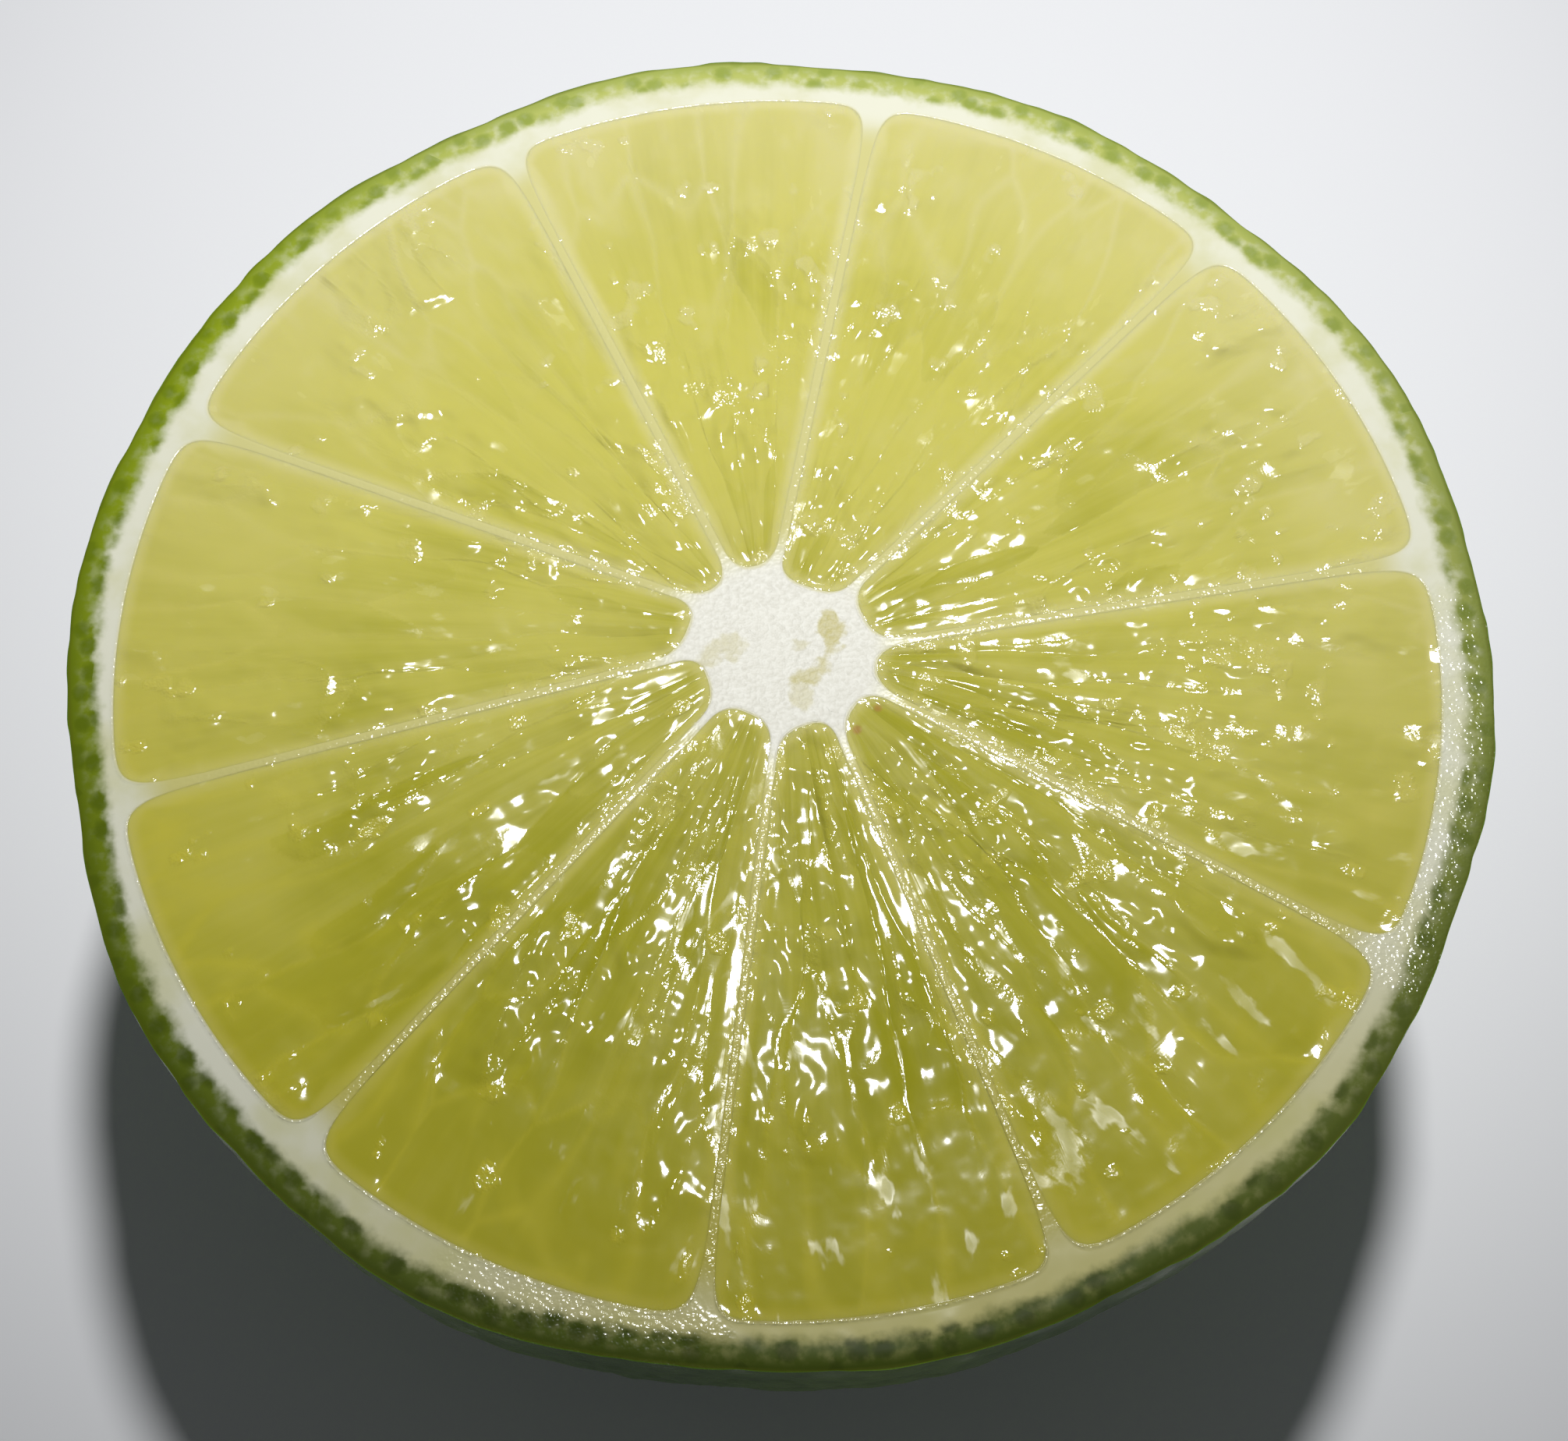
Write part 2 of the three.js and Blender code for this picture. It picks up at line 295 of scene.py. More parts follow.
# %% A socket that can be added and multiplied
class Wire:
    """A socket of a node tree, or with no socket the tree alone, to start from."""

    def __init__(self, tree, socket=None):
        self.tree, self.socket = tree, socket

    def node(self, kind, settings=None, sockets=None, out=0):
        """Adds a node: its settings, then its sockets' values or links."""
        made = self.tree.nodes.new("ShaderNode" + kind)
        for name, value in (settings or {}).items():
            setattr(made, name, value)
        for name, value in (sockets or {}).items():
            if isinstance(value, Wire):
                self.tree.links.new(value.socket, made.inputs[name])
            else:
                made.inputs[name].default_value = value
        return Wire(self.tree, made.outputs[out])

    def other(self, out):
        """Another output of the same node."""
        return Wire(self.tree, self.socket.node.outputs[out])

    def math(self, operation, *values):
        """A Math node on sockets and numbers."""
        return self.node("Math", {"operation": operation}, dict(enumerate(values)))

    def __add__(self, other):
        return self.math("ADD", self, other)

    def __sub__(self, other):
        return self.math("SUBTRACT", self, other)

    def __rsub__(self, other):
        return self.math("SUBTRACT", other, self)

    def __mul__(self, other):
        return self.math("MULTIPLY", self, other)

    __radd__, __rmul__ = __add__, __mul__

    def at_most(self, other):
        """The smaller of two values."""
        return self.math("MINIMUM", self, other)

    def at_least(self, other):
        """The larger of two values."""
        return self.math("MAXIMUM", self, other)

    def eased(self, low, high):
        """0 below low, 1 above high, eased between them, as the function ease does."""
        return self.node("MapRange", {"interpolation_type": "SMOOTHSTEP"},
                         {"Value": self, "From Min": low, "From Max": high})

    def attribute(self, name):
        """The value that travels with the mesh under this name."""
        return self.node("Attribute", {"attribute_name": name}, out="Fac")

    def place(self):
        """The piece's own coordinates in millimetres."""
        here = self.node("TexCoord", out="Object")
        return self.node("VectorMath", {"operation": "MULTIPLY"}, {0: here, 1: (1 / MM,) * 3})

    def axis(self, where, name):
        """One coordinate of a place."""
        return self.node("SeparateXYZ", {}, {"Vector": where}, out=name)

    def away_from(self, where, x, y):
        """The distance in millimetres from a spot on the cut face."""
        spot = (x, y, CUT / MM)
        return self.node("VectorMath", {"operation": "DISTANCE"}, {0: where, 1: spot}, out="Value")

    def speckle(self, where, scale, detail=2.0):
        """Noise of about one blotch per 1 / scale, from 0 to 1."""
        return self.node("TexNoise", {}, {"Vector": where, "Scale": scale, "Detail": detail})

    def tint(self, mask, first, second):
        """The first colour where the mask is 0 and the second where it is 1."""
        return self.node("Mix", {"data_type": "RGBA"}, {0: mask, 6: first, 7: second}, out=2)

    def bump(self, height, depth):
        """A bump of a height from 0 to 1, worth that depth in metres."""
        return self.node("Bump", {}, {"Height": height, "Distance": depth, "Strength": 1.0})


print("helpers of a wire:", *(name for name in vars(Wire) if name[0] != "_"))

# %% [markdown]
# Each material is one Principled shader. What is the same all over it is set on the shader itself, and only
# what changes over the surface comes in through nodes, so that it can be baked.

# %% Colours and finished materials
def srgb(red, green, blue):
    """A colour given as it is shown, from 0 to 255, as the linear values a material needs."""
    shown = np.array([red, green, blue]) / 255
    linear = np.where(shown <= 0.04045, shown / 12.92, ((shown + 0.055) / 1.055) ** 2.4)
    return (*linear.tolist(), 1.0)


def finished_material(name, paint, **constants):
    """A material of one Principled shader. paint takes the tree and gives the sockets that change over the
    surface, and constants are set on the shader's own sockets."""
    material = bpy.data.materials.new(name)
    material.use_nodes = True
    tree = material.node_tree
    shader = next(node for node in tree.nodes if node.type == "BSDF_PRINCIPLED")
    for socket, value in constants.items():
        shader.inputs[socket.replace("_", " ")].default_value = value
    for socket, wire in paint(Wire(tree)).items():
        tree.links.new(wire.socket, shader.inputs[socket])
    print(f"material {name}: {len(tree.nodes)} nodes")
    return material


print("mid grey as linear light:", round(srgb(128, 128, 128)[0], 3))

# %% [markdown]
# ## Juice sacs
#
# Each segment is packed with juice sacs: long drops that hang from the outer wall and point at the core.
# They could be hundreds of small meshes, but the knife leaves only their round ends in one wet face. So
# they are a pattern: one drop is thrown into each square of a lattice, and the highest drop wins.

# %% Overlapping drops
def drops(x, y, seed, wide=0.75, round_end=0.55, tail=1.5):
    """One drop in each lattice square, with a round end towards +y and a tail towards -y. A drop is a dome
    that keeps falling outside its rim, 1 - q with q = (dx / half width)^2 + (dy / length)^2, and the highest
    dome counts, so neighbours meet in creases. Gives the height, the gap to the second highest, and the
    drop's own chance and offset across."""
    i, j = np.floor(x), np.floor(y)
    highest = np.full(np.shape(x), -9.0)
    second = highest.copy()
    own, sideways = np.zeros(np.shape(x)), np.zeros(np.shape(x))
    for a in (-1, 0, 1):
        for b in (-1, 0, 1, 2):
            luck_x, luck_y, pick, lift = (chance(i + a, j + b, seed + k) for k in range(4))
            cx = i + a + 0.5 + 0.8 * (luck_x - 0.5)
            cy = j + b + 0.3 + 0.8 * (luck_y - 0.5)
            size = 0.7 + 0.6 * pick
            dx = x - cx
            dy = (y - cy) / np.where(y > cy, round_end, tail) / size
            half = wide * size * np.where(dy > 0, 1.0, np.maximum(1 + 0.75 * dy, 0.2))
            dome = (1 - (dx / half) ** 2 - dy**2) * (0.6 + 0.4 * size) + 0.25 * lift
            higher = dome > highest
            second = np.where(higher, highest, np.maximum(second, dome))
            own, sideways = np.where(higher, pick, own), np.where(higher, dx, sideways)
            highest = np.where(higher, dome, highest)
    return SimpleNamespace(top=highest, gap=highest - second, own=own, dx=sideways)


some = drops(*np.meshgrid(np.linspace(0, 9, 50), np.linspace(0, 9, 50)), 7)
print(f"mean height of some drops {some.top.mean():.2f}, mean gap to the second {some.gap.mean():.2f}")

# %% [markdown]
# ## Pulp
#
# The knife opened the sacs, so a segment's face is a wet, uneven film over their round ends. Its swells are
# real shape, a height field on a fine grid: a dome and a little tilt for each sac, ripples, and wrinkles in
# patches. As bump in the material they would look flat from the side. The film lies calm near the rim, and
# in some segments it also rests smooth in places nearer to the core. Only beads finer than the grid are
# left to the material.

# %% The film over the sacs
SACS_ACROSS, SACS_ALONG = 4.6, 3.6
SAC_DOME, SAC_TILT, RIPPLE, WRINKLE = 0.08 * MM, 0.07 * MM, 0.048 * MM, 0.018 * MM
EVEN_FILM = 1, 0, 0  # roughness of a segment's film, smoothness of its resting places, and calm at the rim
FILM = {6: (1, 0.85, 0), 7: (1.1, 0.85, 0.35), 8: (1.35, 0, 0.25), 9: (1, 0.85, 0)}  # where it isn't even
ROUGH_CORE, REST_ENDS, BEADS_THIN, CALM_STARTS = (4, 9), (11, 16), (10, 16), (15, 19.5)  # mm from the middle


def segment_place(index, x, y):
    """Where a place of the square lies: its plan point, its shares across and along the segment, and in mm
    its radius, the width there, the distance to the border, and coordinates u across and v along."""
    side_place, end = rounded_square(x, y)
    plan = segment_plan(index, x, y)
    tip = MEMBRANES[index][2] * MM
    out = way_out(tip, end)
    turn = np.angle(membrane_line(index + 1, tip + out) / membrane_line(index, tip + out))
    width = (tip + out) * turn / MM
    length = (PULP_RADIUS - tip) / MM
    ends = np.where(y < 0, (1 + y) * TIP_LENGTH / MM, (1 - y) * (length - TIP_LENGTH / MM))
    middle = segment_plan(index, 0.0, 0.5)
    local = plan * (abs(middle) / middle) / MM
    return SimpleNamespace(
        plan=plan, across=(side_place + 1) / 2, along=out / (PULP_RADIUS - tip), radius=(tip + out) / MM,
        width=width, edge=np.minimum((1 - np.abs(x)) * width / 2, ends), u=-local.imag, v=local.real)


def film_patterns(at, seed, resting, calm_rim):
    """Three noises, each eased between two levels: patches of rougher film, places nearer to the core where
    it rests smooth, and how calm it is towards the rim."""
    patch = ease(-0.3, 0.5, noise(at.u / 2.6, at.v / 3.4, seed + 3))
    rest = ease(0.0, 0.35, noise(at.u / 1.5, at.v / 3, seed + 10)) * resting
    rest = rest * (1 - ease(*REST_ENDS, at.radius))
    lively = ease(0, 0.5, noise(at.u / 2, at.v / 2.5, seed + 9) - calm_rim)
    return patch, rest, 0.9 * ease(*CALM_STARTS, at.radius) * (1 - lively)


def bead_lines(at, sacs, seed):
    """Where beads of juice gather: fine threads where a noise that is long along the segment crosses zero,
    the creases between sacs, and the hems beside the membranes."""
    threads = 1 - ease(0, 0.12, np.abs(noise(at.u / 1.3, at.v / 6, seed + 6)))
    hems = (1 - ease(0.05, 0.25, at.edge)) * (1 - ease(0.75, 0.95, at.along))
    creases = (1 - ease(0, 0.3, sacs.gap)) * ease(2.5, 6, at.width)
    return np.maximum(np.maximum(threads, creases), hems)


def pulp_surface(index, x, y):
    """Height over the cut and the values for the paint, on the segment's square. Drops on (across, along)
    give each sac a dome and, from its own chance, a tilt. Two noises in millimetres, longer along the sacs
    than across them, ripple the film. All of it fades out towards the border, to meet the membrane."""
    at = segment_place(index, x, y)
    seed = 101 * (index + 1)
    roughness, resting, calm_rim = FILM.get(index, EVEN_FILM)
    patch, rest, calm = film_patterns(at, seed, resting, calm_rim)
    sway = 0.35 * noise(at.across * 2, at.along * 3, seed)
    sway = sway + 0.12 * noise(at.across * 5, at.along * 7, seed + 1)
    sacs = drops(at.across * SACS_ACROSS + sway, at.along * SACS_ALONG + 0.5 * sway + 7 * index, seed + 2)
    tilt = (chance(np.floor(sacs.own * 997), index, 5) - 0.5) * sacs.dx
    height = SAC_DOME * (np.maximum(sacs.top, -0.4) - 0.7) + SAC_TILT * tilt
    lively = 0.6 + 0.9 * patch + (1 - ease(*ROUGH_CORE, at.radius))
    height = height + RIPPLE * noise(at.u / 1.1, at.v / 1.7, seed + 4) * lively * (1 - rest)
    height = height + WRINKLE * noise(at.u / 0.6, at.v / 1.0, seed + 5) * patch * (1 - rest)
    broad = (0.5 + 0.5 * ease(1.5, 5.5, at.width)) * (1 - calm) * roughness
    level, _ = cut_level(at.plan)
    wet = (0.25 + 0.6 * patch) * (1 - calm) * (1 - rest) * roughness
    values = {
        "u": at.u, "v": at.v, "across": at.across, "along": at.along, "edge": at.edge,
        "segment": chance(index, 0, 9), "tone": sacs.own, "rings": 1 - ease(0, 0.5, sacs.gap),
        "wet": wet * (1.15 - 0.15 * ease(*BEADS_THIN, at.radius)), "lines": bead_lines(at, sacs, seed),
        "torn": ease(0.75, 0.95, layered_noise(at.u / 1.2, at.v / 1.3, seed + 8))}
    return at.plan, level + height * ease(0, 0.6, at.edge) * broad, values


relief = pulp_surface(0, *np.meshgrid(np.linspace(-1, 1, 90), np.linspace(-1, 1, 120)))[1]
print(f"the first segment's face rises and falls by {np.ptp(relief) / MM:.2f} mm")

# %% [markdown]
# A segment fills its pocket in the pith, so below the face its wall follows the border down and inwards, as
# the outside of the fruit does. The same walls serve for the pith's pockets, turned inside out. A solid cut
# with a boolean would leave ragged triangles at the edge.

# %% Faces and walls of the segments
PULP_COLUMNS, TIP_ROWS, BODY_ROWS = 131, 16, 176
POCKET_TURNS = np.linspace(0, np.arccos(POCKET_END ** (FULLNESS / 2)), 7)


def segment_rows(tip_rows, body_rows):
    """Places along a segment's square: the round tip takes the lower half, the long body the upper half."""
    return np.concatenate([np.linspace(-1, 0, tip_rows + 1)[:-1], np.linspace(0, 1, body_rows)])


def border(columns, y):
    """The square's border as one closed path, counterclockwise in plan: out along the first membrane, round
    the pith, in along the second and past the tip."""
    x, rows = np.linspace(-1, 1, columns), len(y)
    path = [(-np.ones(rows), y), (x, np.ones(columns)), (np.ones(rows), y[::-1]),
            (x[::-1], -np.ones(columns))]
    ends = [(a[:-1], b[:-1]) for a, b in path]
    return tuple(np.concatenate([*part, part[0][:1]]) for part in zip(*ends))


def pocket_walls(index, x, y, top):
    """Rows down the wall of a pocket, from a top height: the border narrowed as the side curves in, and
    last a row that shrinks to the middle of the floor."""
    widths, heights = side(1.0, PULP_POLE_DEPTH, POCKET_TURNS)
    rows = [spots(segment_plan(index, x, y), top)]
    for share, height in zip(widths[1:], heights[1:]):
        rows.append(spots(segment_plan(index, x, y, share), height))
    middle = rows[-1][:-1].mean(0)
    return np.stack([*rows, np.broadcast_to(middle, rows[-1].shape)])


def pulp_piece(index, material):
    """One segment: its cut face as a height field, and its wall from the face's border down."""
    rows = segment_rows(TIP_ROWS, BODY_ROWS)
    y, x = np.meshgrid(rows, np.linspace(-1, 1, PULP_COLUMNS), indexing="ij")
    plan, height, values = pulp_surface(index, x, y)
    edge_x, edge_y = border(PULP_COLUMNS, rows)
    _, edge_height, edge_values = pulp_surface(index, edge_x, edge_y)
    walls = pocket_walls(index, edge_x, edge_y, edge_height)
    return closed_piece(f"pulp_{index + 1:02d}_sacs",
                        [(spots(plan, height), values), (walls, edge_values)], material)


print("points round a segment's border:", len(border(PULP_COLUMNS, segment_rows(TIP_ROWS, BODY_ROWS))[0]))

# %% [markdown]
# ## Wet pulp
#
# Pulp is a clear jelly in thin bags. Light goes in, spreads and comes out yellow-green, so the shader has
# some subsurface scattering under a wet, nearly mirror-smooth surface. The paint is paler near the rim and
# the membranes, where white tissue shines through, and streaked along the sacs. It also holds painted light,
# brighter on the far side of the fruit, and painted shade near the core on the near side. The beads are
# bump: noise finer than the grid, strongest along the creases and in patches.

# %% The pulp's material
PULP_VALUES = "u", "v", "across", "along", "edge", "segment", "tone", "wet", "lines", "torn", "rings"
BROWN_DOTS = (3.5, -1.95), (2.75, -2.8)  # in mm


def grain(w, at, x, y, pattern, detail=2.0):
    """Noise that follows a segment. The third coordinate, the segment's chance times 40 plus the pattern's
    number, makes it another one in each segment."""
    where = w.node("CombineXYZ", {}, {"X": x, "Y": y, "Z": at.segment * 40.0 + pattern})
    return w.speckle(where, 1.0, detail)


def milky_tissue(w, where):
    """The colour of pulp over white tissue, with painted light: paler on the far side of the fruit and a
    deeper amber on the near side.
    """
    # painted light: paler towards the far side of the fruit, where the lamp falls
    paler = (w.axis(where, "Y") + w.axis(where, "X") * 0.15).eased(-16.0, 20.0)
    return w.tint(paler, srgb(213, 204, 66), srgb(223, 217, 158))


def pulp_colour(w, at, where):
    """Deep to lighter green by clouds, sacs and fibres, milky towards the rim and the border, two brown dots,
    and a pale hem along the membranes. Painted light makes it brighter on the far side of the fruit, and
    painted shade darkens it near the core on the near side."""
    # painted light: the pulp's colours are brighter towards the far side of the fruit
    painted_light = w.axis(where, "Y").eased(-26.0, 12.0)
    fibres = grain(w, at, at.across * 20.0, at.along * 2.6, 0.0, 3.0)
    fresh_and_painted_light = w.speckle(where, 0.16, 2.0) * 0.7 + at.tone * 0.2 + fibres * 0.4 + painted_light * 0.6 - 0.5
    colour = w.tint(fresh_and_painted_light.eased(0.1, 0.9), srgb(171, 169, 35), srgb(212, 206, 104))
    # painted shade: darker near the core on the near side of the fruit
    shade = (1 - at.along.eased(0.0, 0.45)) * (1 - painted_light)
    colour = w.tint(shade * 0.6, colour, srgb(140, 137, 27))
    blotches = grain(w, at, at.u * 0.8, at.v * 0.45, 3.0)
    pale = at.along.eased(0.5, 1.05) * 0.5 + blotches.eased(0.5, 0.75) * 0.2
    pale = pale + (1 - at.edge.eased(0.0, 0.6)) * 0.35 + at.rings * at.along.eased(0.4, 0.9) * 0.2
    pale = pale + at.lines * 0.06 + at.torn * 0.35
    colour = w.tint(pale.at_most(0.9), colour, milky_tissue(w, where))
    for x, y in BROWN_DOTS:
        dot = 1 - w.away_from(where, x, y).eased(0.08, 0.24)
        colour = w.tint(dot * 0.6, colour, srgb(183, 123, 78))
    # the hem is paler where white tissue shows through, and brighter on the far side as painted light
    hem = w.tint(painted_light, srgb(204, 197, 96), srgb(232, 226, 165))
    return w.tint((1 - at.edge.eased(0.0, 0.55)) * 0.4, colour, hem)


def pulp_paint(w):
    """Colour, a frost of rougher streaks, and a bump of fine and coarse beads where the film is wet."""
    at = SimpleNamespace(**{name: w.attribute(name) for name in PULP_VALUES})
    fine = grain(w, at, at.u * 5.0, at.v * 4.0, 15.0)
    coarse = grain(w, at, at.u * 1.7, at.v * 1.25, 19.0, 0.0)
    beads = fine * (at.lines * at.wet + at.torn) * 0.27 + coarse * at.wet
    frost = grain(w, at, at.u * 1.1, at.v * 0.45, 27.0, 3.0).eased(0.6, 0.72)
    return {"Base Color": pulp_colour(w, at, w.place()), "Roughness": frost * 0.27 + 0.08,
            "Normal": w.bump(beads, 0.2 * MM)}


pulp_material = finished_material(
    "wet_pulp", pulp_paint, IOR=1.42, Subsurface_Weight=0.5, Subsurface_Scale=0.25 * MM,
    Subsurface_Radius=(1.0, 0.9, 0.25), Coat_Weight=0.05, Coat_Roughness=0.3, Coat_IOR=1.4)

for index in range(SEGMENTS):
    piece = pulp_piece(index, pulp_material)
    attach(piece, "root")
    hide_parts(f"pulp_{index + 1:02d}")

# %% [markdown]
# ## Pith, membranes and core
#
# The white tissue is one body with ten pockets. Cut from a disc with booleans, its face would be ragged
# triangles. Instead each pocket gets a collar: a grid that runs from the pocket's outline to the middle
# lines of the membranes beside it, to the rim and to the core. Ten collars and a small cap in the middle
# tile the face without a gap, and each grid line crosses a membrane square on.

# %% Collars round the pockets
WALL_RADIUS = RADIUS - RIND
CORE_CAP = 0.3 * MM


def rim_corner(index):
    """Where a membrane's line meets the inner face of the rind: its angle is found in a few rounds."""
    angle = np.radians(MEMBRANES[index % SEGMENTS][1])
    for _ in range(4):
        angle = np.angle(membrane_line(index, WALL_RADIUS * waviness(angle)))
    return angle


def shared_line(index, y):
    """Points on a membrane's middle line, the same for the segments at both of its sides: from the core's
    cap to beside the tips, and on to the rind."""
    beside = (MEMBRANES[(index - 1) % SEGMENTS][2] + MEMBRANES[index % SEGMENTS][2]) / 2 * MM + TIP_LENGTH
    rim = WALL_RADIUS * waviness(rim_corner(index))
    radius = np.where(y < 0, CORE_CAP + (beside - CORE_CAP) * (1 + y) ** 1.5, beside + (rim - beside) * y)
    return membrane_line(index, radius)


def collar_edge(index, x, y):
    """The collar's outer edge for a place on the square's border: on a membrane's line at the sides, on the
    rim at the top and on the small cap at the bottom."""
    first, second = rim_corner(index), rim_corner(index + 1)
    rim_angle = first + (second - first) % (2 * np.pi) * (x + 1) / 2
    ends = [np.angle(membrane_line(k, CORE_CAP)) for k in (index, index + 1)]
    core_angle = ends[0] + (ends[1] - ends[0]) % (2 * np.pi) * (x + 1) / 2
    edge = np.where(y > 0, WALL_RADIUS * waviness(rim_angle) * np.exp(1j * rim_angle),
                    CORE_CAP * np.exp(1j * core_angle))
    edge = np.where(x <= -1, shared_line(index, y), edge)
    return np.where(x >= 1, shared_line(index + 1, y), edge)


print("membranes meet the rind at, in degrees:",
      [round(float(np.degrees(rim_corner(index))) % 360) for index in range(SEGMENTS)])

# %% [markdown]
# The membranes stand a little proud of the pulp, and the soft core sinks in. Both are real shape here, and
# one function gives the height everywhere, so that collars, cap and the rind's cut edge meet level.

# %% The pith's face and walls
COLLAR_STEPS = np.array([0, 0.06, 0.14, 0.24, 0.36, 0.48, 0.6, 0.73, 0.86, 1.0])[:, None]
PITH_COLUMNS, PITH_ROWS = 81, segment_rows(16, 120)
MEMBRANE_FOOT = 0.12 * MM  # how quickly a membrane rises from its pocket
CORE_HOLLOW, HOLLOW_RADIUS = 0.04, 1.6 * MM  # depth in mm, and radius
WALL_TURNS = np.linspace(0, np.pi / 2, 9)


def pith_surface(plan, share, away):
    """Height over the cut and the values for the paint. share is how far a point lies from the pocket to the
    collar's edge, from 0 to 1, and away is that distance. The tissue rises from the pocket by
    1 - (1 - share) * exp(-away / foot), which is 1 all along the edge, so neighbouring collars meet. The
    core's hollow is a bell curve."""
    below = RADIUS / MM * waviness(np.angle(plan)) - np.abs(plan) / MM
    level, body = cut_level(plan)
    rise = 1 - (1 - share) * np.exp(-away / MEMBRANE_FOOT)
    proud = (0.006 - 0.004 * body) * rise * MM
    hollow = CORE_HOLLOW * np.exp(-((np.abs(plan) / HOLLOW_RADIUS) ** 2)) * MM
    return level + proud - hollow, {"below": below, "body": body, "rise": rise}


def pith_grids(index, edge_x, edge_y):
    """One segment's share of the pith: its collar, its pocket's walls turned inside out, its part of the cap
    on the core, and its part of the wall against the rind."""
    inner, outer = segment_plan(index, edge_x, edge_y), collar_edge(index, edge_x, edge_y)
    plan = inner * (1 - COLLAR_STEPS) + outer * COLLAR_STEPS
    height, values = pith_surface(plan, COLLAR_STEPS, np.abs(plan - inner))
    pocket = pocket_walls(index, edge_x, edge_y, height[0])[:, ::-1]
    x = np.linspace(-1, 1, PITH_COLUMNS)
    ring, rim = collar_edge(index, x, -np.ones_like(x)), collar_edge(index, x, np.ones_like(x))
    cap = np.stack([ring * 0, ring])
    cap_height, cap_values = pith_surface(cap, 1.0, 0.0)
    radii, heights = side(1.0, RIND_POLE_DEPTH, WALL_TURNS)
    wall = spots(rim * radii[:, None], heights[:, None])
    wall[0, :, 2] = pith_surface(rim, 1.0, 0.0)[0]
    wall[-1] = (0, 0, heights[-1])
    return [(spots(plan, height), values), (pocket, {}), (spots(cap, cap_height), cap_values), (wall, {})]


def pith_piece(material):
    """The pith from the shares of its ten segments."""
    edge_x, edge_y = border(PITH_COLUMNS, PITH_ROWS)
    grids = [grid for index in range(SEGMENTS) for grid in pith_grids(index, edge_x, edge_y)]
    return closed_piece("pith_and_core", grids, material)


heights = pith_surface(np.array([0, 12, 24]) * MM, 1.0, 0.0)[0] - CUT
print("height over the cut at 0, 12 and 24 mm from the middle, in mm:", (heights / MM).round(3))

# %% [markdown]
# ## White tissue and the cut peel
#
# From the pith outwards the white turns green within a millimetre. The border is fuzzy, it bulges round the
# oil glands, which the knife opened as dark drops, and white fibres mottle the green. Glands could be pits,
# but the cut leaves them level with the rest, so they are paint. Pith and rind are two bodies, yet the
# colours run on across their seam, because one function of the place gives them to both.

# %% Colours of the cut
def white_tissue(w, where):
    """White with painted shade: greyer and yellower towards the near side of the fruit, and a little uneven.
    """
    # painted light: the white is brightest on the far side and greyer and yellower on the near side
    tissue_painted_light = (w.axis(where, "Y") - w.axis(where, "X") * 0.25).eased(-27.0, -10.0)
    tissue = w.tint(tissue_painted_light, srgb(212, 205, 130), srgb(238, 238, 217))
    uneven = w.speckle(where, 0.35, 4.0).eased(0.42, 0.7)
    return w.tint(uneven * 0.4, tissue, srgb(204, 203, 118))


def glands(w, where, below, fuzz):
    """1 in the oil glands: a Voronoi pattern gives the distance to the nearest of many scattered points, and
    each gland is as strong as its cell's own chance."""
    spot = w.node("TexVoronoi", {"voronoi_dimensions": "2D"}, {"Vector": where, "Scale": 1.0})
    own = w.axis(spot.other("Color"), "X")
    inside = (1 - (spot + (fuzz - 0.5) * 0.2).eased(0.15, 0.55)) * own.eased(0.0, 0.3)
    return inside * (1 - below.eased(0.8, 1.25))


def cut_peel(w, where, below, white):
    """The colour of the cut peel: green at the skin and white inside, by the depth below the skin with tufts,
    fuzz and glands added. The green and the glands hold painted light, brighter on the far side of the fruit
    and darker on the near side, and they are paler on the left."""
    tufts, fuzz = w.speckle(where, 1.1, 3.0), w.speckle(where, 5.0, 2.0)
    inside = glands(w, where, below, fuzz)
    depth = below + (tufts - 0.5) * 0.7 + (fuzz - 0.5) * 0.2 - inside * 0.25
    # painted light: the green and the glands are brighter on the far side and darker on the near side
    painted_light_side = (w.axis(where, "Y") - w.axis(where, "X") * 0.05).eased(-31.0, 25.0)
    left = 1 - w.axis(where, "X").eased(-22.0, -8.0)
    flesh = w.tint(painted_light_side, srgb(76, 92, 20), w.tint(left, srgb(189, 197, 108), srgb(150, 169, 30)))
    mottle = w.speckle(where, 2.0, 3.0).eased(0.42, 0.72) * below.eased(0.1, 0.5)
    flesh = w.tint(mottle * (1 - left * 0.6) * (painted_light_side * 0.25 + 0.2), flesh, white)
    gland = w.tint(painted_light_side, srgb(42, 54, 6), w.tint(left, srgb(134, 154, 60), srgb(104, 126, 12)))
    darker = (inside * 0.65).at_least((1 - below.eased(0.1, 0.7)) * 0.45)
    return w.tint(1 - depth.eased(0.65, 1.3), white, w.tint(darker, flesh, gland))


print("white tissue in linear light:", [round(share, 2) for share in srgb(238, 238, 217)[:3]])

# %% [markdown]
# ## Beads of juice
#
# Juice stands on the white tissue as tiny beads: along the membranes, and in puddles that the knife dragged
# over the rim. They are finer than the grids here, so one noise gives them as bump, and masks say where it
# is wet.

# %% Moist tissue
PUDDLES = (23.0, -5.0, 9.0, 1.0), (-6.5, -22.4, 5.0, 0.35)  # place and radius in mm, wetness of the green


